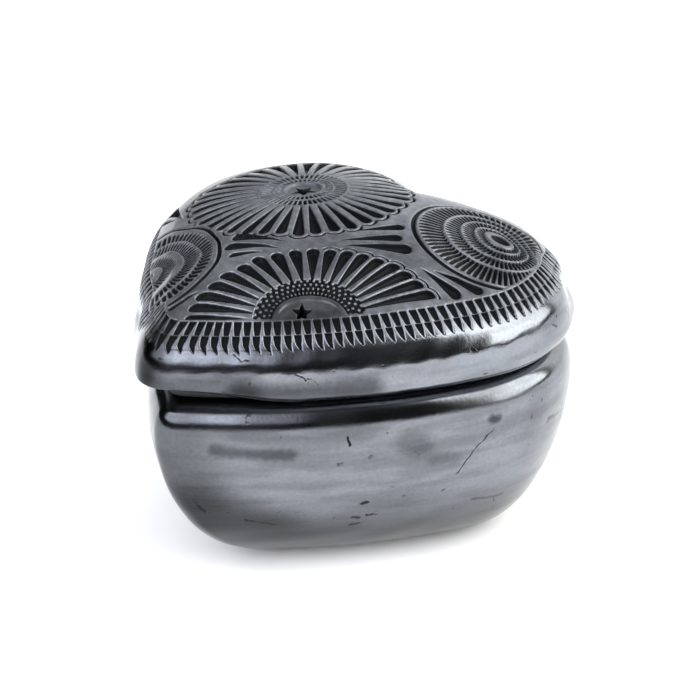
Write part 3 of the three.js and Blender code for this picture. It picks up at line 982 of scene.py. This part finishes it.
def clay_material(name, sheen, marks):
    """Reduction-fired black clay: burnished like graphite outside, matt where it is cut or inside; painted
    shade darkens the cuts, smooth hollows, foot and listed stretches.
    """
    material = bpy.data.materials.new(name)
    material.use_nodes = True
    nodes = Nodes(material.node_tree)
    place = nodes.add("ShaderNodeTexCoord").outputs["Object"]
    burnish = nodes.mark("burnish")
    cut = nodes.mark("cut")
    inside = nodes.mark("inside")
    separate = nodes.add("ShaderNodeSeparateXYZ")
    nodes.link(place, separate.inputs[0])

    smudge = nodes.noise(place, 48.0, 5.0)
    streaks = nodes.noise(place, 60.0, 5.0, (1.0, 1.0, 7.0))
    grain = nodes.noise(place, 1500.0, 3.0)
    specks = nodes.noise(place, 420.0, 2.0)

    worn = nodes.math("ADD", nodes.math("MULTIPLY", smudge, 0.5), nodes.math("MULTIPLY", streaks, 0.5))
    patch = nodes.ramp(worn, 0.38, 0.6)
    # Painted shade: the colour darkens towards the foot all round, standing for the floor's contact shadow
    # mirrored in the low belly.
    foot = nodes.ramp(separate.outputs["Z"], 0.005, 0.024)
    shade = nodes.math("MULTIPLY", nodes.blend(patch, 0.73, 1.07), nodes.blend(foot, 0.12, 1.0))
    shade = nodes.math("MULTIPLY", shade, nodes.blend(grain, 0.8, 1.2))
    wavering = nodes.add("ShaderNodeTexNoise")
    wavering.inputs["Scale"].default_value = 700.0
    nodes.link(place, wavering.inputs["Vector"])
    centred = nodes.vector("SUBTRACT", wavering.outputs["Color"], (0.5, 0.5, 0.5))
    unsteady = nodes.vector("ADD", place, nodes.vector("SCALE", centred, WANDER))
    for start, end, half, blur, dark in marks:
        stroke = nodes.stroke(unsteady, start, end, half, blur)
        shade = nodes.math("MULTIPLY", shade, nodes.blend(stroke, 1.0, 1.0 - dark))
    burnished = nodes.tint(shade, sheen)
    # Painted shade: the colour goes near-black with the depth of a cut and in the smooth hollows; the cut
    # clay is also matter and less metallic.
    depth = nodes.ramp(cut, 0.02, 0.2)
    scraped = nodes.noise(place, 650.0, 4.0)
    ridge = nodes.tint(nodes.math("MULTIPLY", shade, nodes.blend(scraped, 0.3, 1.5)), sheen)
    carved = nodes.mix(depth, ridge, CUT_CLAY_AND_SHADE_COLOUR)
    pits = nodes.ramp(specks, 0.7, 0.76)
    surface = nodes.mix(burnish, carved, burnished)
    outside = nodes.mix(nodes.math("MULTIPLY", pits, 0.6), surface, PIT_COLOUR)
    colour = nodes.mix(inside, outside, INSIDE_COLOUR)

    gloss = nodes.blend(patch, 0.22, 0.13)
    rough = nodes.blend(burnish, nodes.blend(depth, 0.3, 0.5), gloss)
    rough = nodes.blend(inside, rough, 0.7)
    metal = nodes.blend(burnish, nodes.blend(depth, 0.7, 0.0), 1.0)
    mirror = nodes.blend(burnish, nodes.blend(depth, 0.5, 0.12), 0.5)
    metal = nodes.blend(inside, metal, 0.2)

    height = nodes.math("ADD", nodes.math("MULTIPLY", grain, 0.25), nodes.math("MULTIPLY", streaks, 0.5))
    height = nodes.math("SUBTRACT", height, nodes.math("MULTIPLY", pits, 0.4))
    height = nodes.math("ADD", height, nodes.math("MULTIPLY", nodes.blend(burnish, 0.9, 0.0), scraped))
    bump = nodes.add("ShaderNodeBump")
    bump.inputs["Strength"].default_value = 0.25
    bump.inputs["Distance"].default_value = BUMP_HEIGHT
    nodes.link(height, bump.inputs["Height"])

    shader = nodes.add("ShaderNodeBsdfPrincipled")
    nodes.value(shader, "Base Color", colour)
    nodes.value(shader, "Roughness", rough)
    nodes.value(shader, "Metallic", metal)
    nodes.value(shader, "Specular IOR Level", mirror)
    nodes.link(bump.outputs[0], shader.inputs["Normal"])
    nodes.link(shader.outputs[0], nodes.add("ShaderNodeOutputMaterial").inputs[0])
    return material


def floor_material():
    material = bpy.data.materials.new("floor")
    material.use_nodes = True
    nodes = Nodes(material.node_tree)
    shader = nodes.add("ShaderNodeBsdfPrincipled")
    shader.inputs["Base Color"].default_value = FLOOR_COLOUR
    shader.inputs["Roughness"].default_value = 0.7
    nodes.link(shader.outputs[0], nodes.add("ShaderNodeOutputMaterial").inputs[0])
    return material


# ---- studio ----------------------------------------------------------------------------------------------

FLOOR_RADIUS = 3.0
FLOOR_POINTS = 64


def make_floor():
    """A round pale floor that the box stands on."""
    turns = np.linspace(0, 2 * math.pi, FLOOR_POINTS, endpoint=False)
    ring = [(FLOOR_RADIUS * math.cos(turn), FLOOR_RADIUS * math.sin(turn), 0.0) for turn in turns]
    mesh = bpy.data.meshes.new("floor")
    mesh.from_pydata(ring, [], [list(range(FLOOR_POINTS))])
    mesh.materials.append(floor_material())
    floor = bpy.data.objects.new("floor", mesh)
    bpy.context.collection.objects.link(floor)


# Soft lights for the floor: the clay mirrors the world's panels and not these. Azimuth counts
# from the camera's direction, in degrees; sizes are in metres and power in watts.
FLOOR_LIGHTS = (
    {"name": "ceiling", "azimuth": 0, "elevation": 90, "distance": 1.6, "width": 4.0, "power": 40},
    {"name": "front_left", "azimuth": -40, "elevation": 20, "distance": 3.0, "width": 2.4, "power": 56},
    {"name": "front_right", "azimuth": 60, "elevation": 24, "distance": 3.0, "width": 2.4, "power": 48},
)


def make_floor_light(lamp):
    """A round soft light that looks at the middle of the scene."""
    data = bpy.data.lights.new(lamp["name"], "AREA")
    data.shape = "DISK"
    data.size = lamp["width"]
    data.energy = lamp["power"]
    light = bpy.data.objects.new(lamp["name"], data)
    turn = CAMERA_AZIMUTH + math.radians(lamp["azimuth"])
    rise = math.radians(lamp["elevation"])
    away = Vector((math.sin(turn) * math.cos(rise), -math.cos(turn) * math.cos(rise), math.sin(rise)))
    light.location = away * lamp["distance"]
    light.rotation_euler = away.to_track_quat("Z", "Y").to_euler()
    light.visible_glossy = False
    bpy.context.collection.objects.link(light)


# The pale panels and the pale back wall that the clay mirrors: azimuth from and to, elevation
# from and to, softness of the sides and of the top and bottom, brightness and colour. Azimuth
# counts from the camera's direction, towards the right of the picture; all in degrees.
COOL = (0.95, 0.98, 1.0)
PANELS = (
    {"turn": (-250, -160), "rise": (-90, 46), "soft": (12, 12), "light": 0.4, "colour": COOL},
    {"turn": (155, 250), "rise": (-90, 46), "soft": (12, 12), "light": 0.9, "colour": COOL},
    {"turn": (118, 155), "rise": (-90, 46), "soft": (10, 10), "light": 1.8, "colour": (1.0, 1.0, 0.98)},
    {"turn": (-80, 3), "rise": (19, 60), "soft": (22, 6), "light": 3.35, "colour": (0.94, 0.95, 1.04)},
    {"turn": (50, 110), "rise": (6, 62), "soft": (10, 5), "light": 4.4, "colour": (1.0, 1.0, 0.96)},
)
ROOM_COLOUR = (0.02, 0.02, 0.02, 1.0)
CEILING_COLOUR = (0.12, 0.12, 0.12, 1.0)
CEILING_RISE = (36.0, 70.0)
WHITE = (1.0, 1.0, 1.0, 1.0)


def make_world():
    """White to the camera; for everything else a dark room with pale panels and a pale back wall."""
    world = bpy.data.worlds.new("studio")
    bpy.context.scene.world = world
    world.use_nodes = True
    nodes = Nodes(world.node_tree)
    direction = nodes.add("ShaderNodeTexCoord").outputs["Generated"]
    separate = nodes.add("ShaderNodeSeparateXYZ")
    nodes.link(direction, separate.inputs[0])
    east, north = math.sin(CAMERA_AZIMUTH), -math.cos(CAMERA_AZIMUTH)
    forward = nodes.vector("DOT_PRODUCT", direction, (east, north, 0.0))
    sideways = nodes.vector("DOT_PRODUCT", direction, (-north, east, 0.0))
    turn = nodes.math("ARCTAN2", sideways, forward)
    turn = nodes.math("MULTIPLY", turn, 180 / math.pi)
    rise = nodes.math("MULTIPLY", nodes.math("ARCSINE", separate.outputs["Z"]), 180 / math.pi)
    colour = nodes.mix(nodes.ramp(rise, *CEILING_RISE), ROOM_COLOUR, CEILING_COLOUR)
    for panel in PANELS:
        across = nodes.window(turn, *panel["turn"], panel["soft"][0])
        upright = nodes.window(rise, *panel["rise"], panel["soft"][1])
        inside = nodes.math("MULTIPLY", across, upright)
        bright = [part * panel["light"] for part in panel["colour"]]
        colour = nodes.mix(inside, colour, (*bright, 1.0))
    seen = nodes.add("ShaderNodeLightPath").outputs["Is Camera Ray"]
    background = nodes.add("ShaderNodeBackground")
    nodes.value(background, "Color", nodes.mix(seen, colour, WHITE))
    background.inputs["Strength"].default_value = 1.0
    nodes.link(background.outputs[0], nodes.add("ShaderNodeOutputWorld").inputs[0])


# ---- the whole scene -------------------------------------------------------------------------------

make_base(clay_material("base_clay", BASE_SHEEN, BASE_MARKS_AND_SHADE))
make_lid(clay_material("lid_clay", LID_SHEEN, LID_MARKS_AND_SHADE))
make_floor()
for lamp in FLOOR_LIGHTS:
    make_floor_light(lamp)
make_world()

scene = bpy.context.scene
scene.view_settings.view_transform = "Standard"
scene.view_settings.look = "None"
